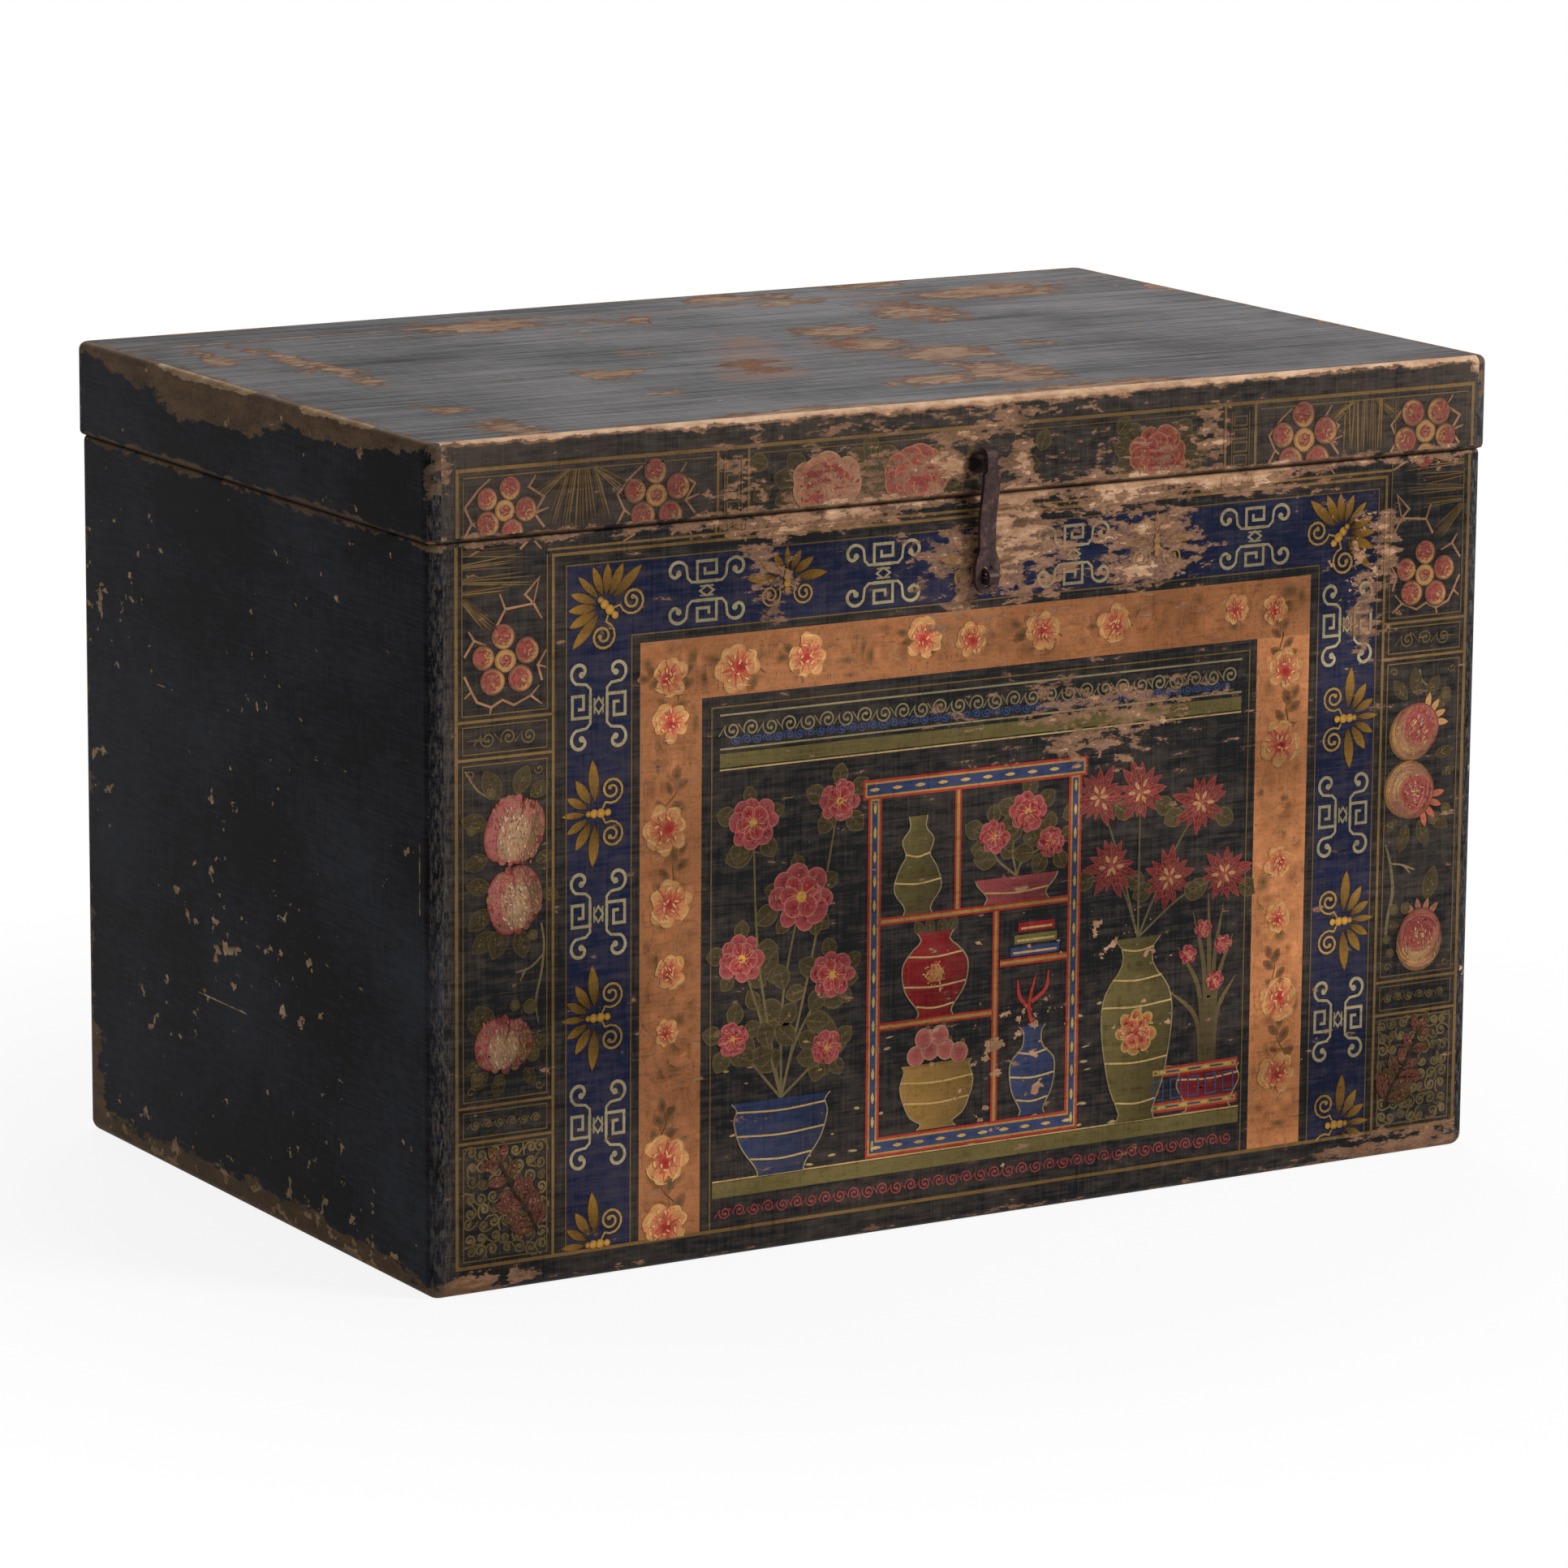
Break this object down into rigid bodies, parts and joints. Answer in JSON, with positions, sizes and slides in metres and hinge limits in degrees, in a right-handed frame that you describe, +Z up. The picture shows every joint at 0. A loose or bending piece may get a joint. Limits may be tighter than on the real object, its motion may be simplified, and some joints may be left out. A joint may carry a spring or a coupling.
{
  "type": "storage chest",
  "caption": "Rectangular painted wooden chest with dovetailed walls, a shallow lid on iron loop hinges at the back, and an iron hasp that drops over a lock staple on the front.",
  "frame": {"origin": "on the floor under the middle of the box", "axes": "+X to the right along the front, +Y from the front to the hinged back, +Z up"},
  "size_m": [0.804, 0.5344, 0.545],
  "materials": {
    "painted_wood": "worn lacquer paint over softwood",
    "bare_wood": "aged, unfinished",
    "bamboo": "split and shaved",
    "iron": "forged, dark with age"
  },
  "bodies": {
    "box": {"front_board_lower": "painted_wood", "front_board_upper": "painted_wood", "back_board_lower": "painted_wood", "back_board_upper": "painted_wood", "left_board_lower": "painted_wood", "left_board_upper": "painted_wood", "right_board_lower": "painted_wood", "right_board_upper": "painted_wood", "wall_dowel_1": "bamboo", "wall_dowel_2": "bamboo", "wall_dowel_3": "bamboo", "wall_dowel_4": "bamboo", "wall_dowel_5": "bamboo", "wall_dowel_6": "bamboo", "wall_dowel_7": "bamboo", "wall_dowel_8": "bamboo", "wall_dowel_9": "bamboo", "wall_dowel_10": "bamboo", "bottom_plank_1": "bare_wood", "bottom_plank_2": "bare_wood", "bottom_plank_3": "bare_wood", "left_hinge_eye": "iron", "right_hinge_eye": "iron", "lock_staple": "iron"},
    "lid": {"lid_front_rail": "painted_wood", "lid_back_rail": "painted_wood", "lid_left_rail": "painted_wood", "lid_right_rail": "painted_wood", "lid_top_front_board": "painted_wood", "lid_top_rear_board": "painted_wood", "lid_peg_1": "bamboo", "lid_peg_2": "bamboo", "lid_peg_3": "bamboo", "lid_peg_4": "bamboo", "lid_peg_5": "bamboo", "lid_peg_6": "bamboo", "lid_peg_7": "bamboo", "lid_peg_8": "bamboo", "lid_peg_9": "bamboo", "lid_peg_10": "bamboo", "lid_peg_11": "bamboo", "lid_peg_12": "bamboo", "lid_dowel_1": "bamboo", "lid_dowel_2": "bamboo", "lid_dowel_3": "bamboo", "left_hinge_loop": "iron", "right_hinge_loop": "iron", "hasp_staple": "iron"},
    "hasp": {"hasp_strap": "iron"}
  },
  "joints": [
    {"name": "lid_hinge", "type": "hinge", "parent": "box", "child": "lid", "pos_m": [0, 0.2595, 0.4665], "axis": [-1, 0, 0], "range_deg": [0, 110]},
    {"name": "hasp_hinge", "type": "hinge", "parent": "lid", "child": "hasp", "pos_m": [0, -0.2605, 0.5088], "axis": [-1, 0, 0], "range_deg": [0, 150]}
  ]
}
